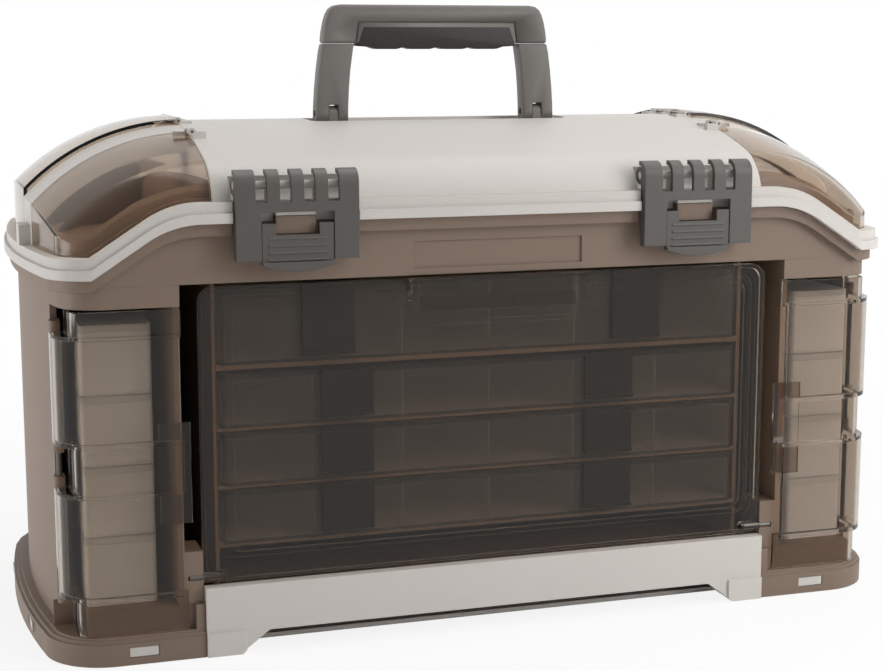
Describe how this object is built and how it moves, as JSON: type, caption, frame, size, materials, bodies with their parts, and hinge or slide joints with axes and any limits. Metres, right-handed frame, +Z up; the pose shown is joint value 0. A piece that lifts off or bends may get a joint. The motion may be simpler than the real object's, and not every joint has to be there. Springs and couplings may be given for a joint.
{
  "type": "fishing tackle cabinet",
  "caption": "Portable tackle cabinet with a drop-front door over utility boxes, side doors over small boxes, and a lid with covered bins, latches and a folding handle.",
  "frame": {"origin": "under the middle of the cabinet, on the surface that it stands on", "axes": "+X across the front to the right as seen from the front, +Y from the front door to the back, +Z up"},
  "size_m": [0.5918, 0.3028, 0.4054],
  "materials": {
    "taupe_plastic": "fine matt moulding texture",
    "cream_plastic": "fine matt moulding texture",
    "smoke_plastic": "clear smoke-brown, glossy",
    "clear_plastic": "translucent, semi-gloss",
    "black_plastic": "near-black, semi-gloss",
    "latch_plastic": "satin",
    "handle_plastic": "satin",
    "grip_rubber": "matt soft grip",
    "pin_steel": "plain wire"
  },
  "bodies": {
    "cabinet": {"body_shell": "taupe_plastic", "body_rim": "taupe_plastic", "door_blocks": "taupe_plastic", "base_plate": "cream_plastic", "storage_tub": "taupe_plastic", "box_rack": "taupe_plastic", "utility_box_1": "clear_plastic", "utility_box_2": "clear_plastic", "utility_box_3": "clear_plastic", "utility_box_4": "clear_plastic", "utility_box_lid_1": "clear_plastic", "utility_box_lid_2": "clear_plastic", "utility_box_lid_3": "clear_plastic", "utility_box_lid_4": "clear_plastic", "utility_box_latches_1": "black_plastic", "utility_box_latches_2": "black_plastic", "utility_box_latches_3": "black_plastic", "utility_box_latches_4": "black_plastic", "utility_box_dividers_1": "clear_plastic", "utility_box_dividers_2": "clear_plastic", "utility_box_dividers_3": "clear_plastic", "utility_box_dividers_4": "clear_plastic", "end_box_left_1": "clear_plastic", "end_box_left_2": "clear_plastic", "end_box_left_3": "clear_plastic", "end_box_left_4": "clear_plastic", "end_box_right_1": "clear_plastic", "end_box_right_2": "clear_plastic", "end_box_right_3": "clear_plastic", "end_box_right_4": "clear_plastic", "end_box_lids_left": "clear_plastic", "end_box_lids_right": "clear_plastic", "front_door_pins": "pin_steel", "end_door_pin_left": "pin_steel", "end_door_pin_right": "pin_steel", "lid_hinge_pins": "pin_steel"},
    "lid": {"lid_shell": "cream_plastic", "lid_rim": "cream_plastic", "lid_bands": "cream_plastic", "bin_tub_left": "taupe_plastic", "bin_tub_right": "taupe_plastic", "cover_pins": "pin_steel", "handle_pins": "pin_steel", "latch_rods": "cream_plastic"},
    "handle": {"handle": "handle_plastic", "handle_grip": "grip_rubber"},
    "front_door": {"front_door": "smoke_plastic"},
    "end_door_left": {"end_door_left": "smoke_plastic"},
    "end_door_right": {"end_door_right": "smoke_plastic"},
    "latch_left": {"latch_frame_left": "latch_plastic", "lever_pin_left": "pin_steel"},
    "latch_right": {"latch_frame_right": "latch_plastic", "lever_pin_right": "pin_steel"},
    "lever_left": {"latch_lever_left": "latch_plastic"},
    "lever_right": {"latch_lever_right": "latch_plastic"},
    "front_cover_left": {"front_cover_left": "smoke_plastic"},
    "front_cover_right": {"front_cover_right": "smoke_plastic"},
    "rear_cover_left": {"rear_cover_left": "smoke_plastic"},
    "rear_cover_right": {"rear_cover_right": "smoke_plastic"}
  },
  "joints": [
    {"name": "lid_hinge", "type": "hinge", "parent": "cabinet", "child": "lid", "pos_m": [0, 0.147, 0.2715], "axis": [-1, 0, 0], "range_deg": [0, 100]},
    {"name": "handle_fold", "type": "hinge", "parent": "lid", "child": "handle", "pos_m": [0, -0.006, 0.331], "axis": [1, 0, 0], "range_deg": [-80, 80]},
    {"name": "front_door_hinge", "type": "hinge", "parent": "cabinet", "child": "front_door", "pos_m": [0, -0.133, 0.05], "axis": [1, 0, 0], "range_deg": [0, 90]},
    {"name": "end_door_left_hinge", "type": "hinge", "parent": "cabinet", "child": "end_door_left", "pos_m": [-0.2765, -0.1063, 0.12], "axis": [0, 0, -1], "range_deg": [0, 110]},
    {"name": "end_door_right_hinge", "type": "hinge", "parent": "cabinet", "child": "end_door_right", "pos_m": [0.2765, -0.1063, 0.12], "axis": [0, 0, 1], "range_deg": [0, 110]},
    {"name": "front_cover_left_hinge", "type": "hinge", "parent": "lid", "child": "front_cover_left", "pos_m": [-0.184, -0.07, 0.3235], "axis": [0, 1, 0], "range_deg": [0, 100]},
    {"name": "rear_cover_left_hinge", "type": "hinge", "parent": "lid", "child": "rear_cover_left", "pos_m": [-0.184, 0.001, 0.3282], "axis": [0, 1, 0], "range_deg": [0, 100]},
    {"name": "latch_left_hinge", "type": "hinge", "parent": "lid", "child": "latch_left", "pos_m": [-0.1338, -0.1412, 0.294], "axis": [-1, 0, 0], "range_deg": [0, 110]},
    {"name": "lever_left_hinge", "type": "hinge", "parent": "latch_left", "child": "lever_left", "pos_m": [-0.1338, -0.1475, 0.253], "axis": [-1, 0, 0], "range_deg": [0, 20]},
    {"name": "front_cover_right_hinge", "type": "hinge", "parent": "lid", "child": "front_cover_right", "pos_m": [0.184, -0.07, 0.3235], "axis": [0, -1, 0], "range_deg": [0, 100]},
    {"name": "rear_cover_right_hinge", "type": "hinge", "parent": "lid", "child": "rear_cover_right", "pos_m": [0.184, 0.001, 0.3282], "axis": [0, -1, 0], "range_deg": [0, 100]},
    {"name": "latch_right_hinge", "type": "hinge", "parent": "lid", "child": "latch_right", "pos_m": [0.1338, -0.1412, 0.294], "axis": [-1, 0, 0], "range_deg": [0, 110]},
    {"name": "lever_right_hinge", "type": "hinge", "parent": "latch_right", "child": "lever_right", "pos_m": [0.1338, -0.1475, 0.253], "axis": [-1, 0, 0], "range_deg": [0, 20]}
  ]
}
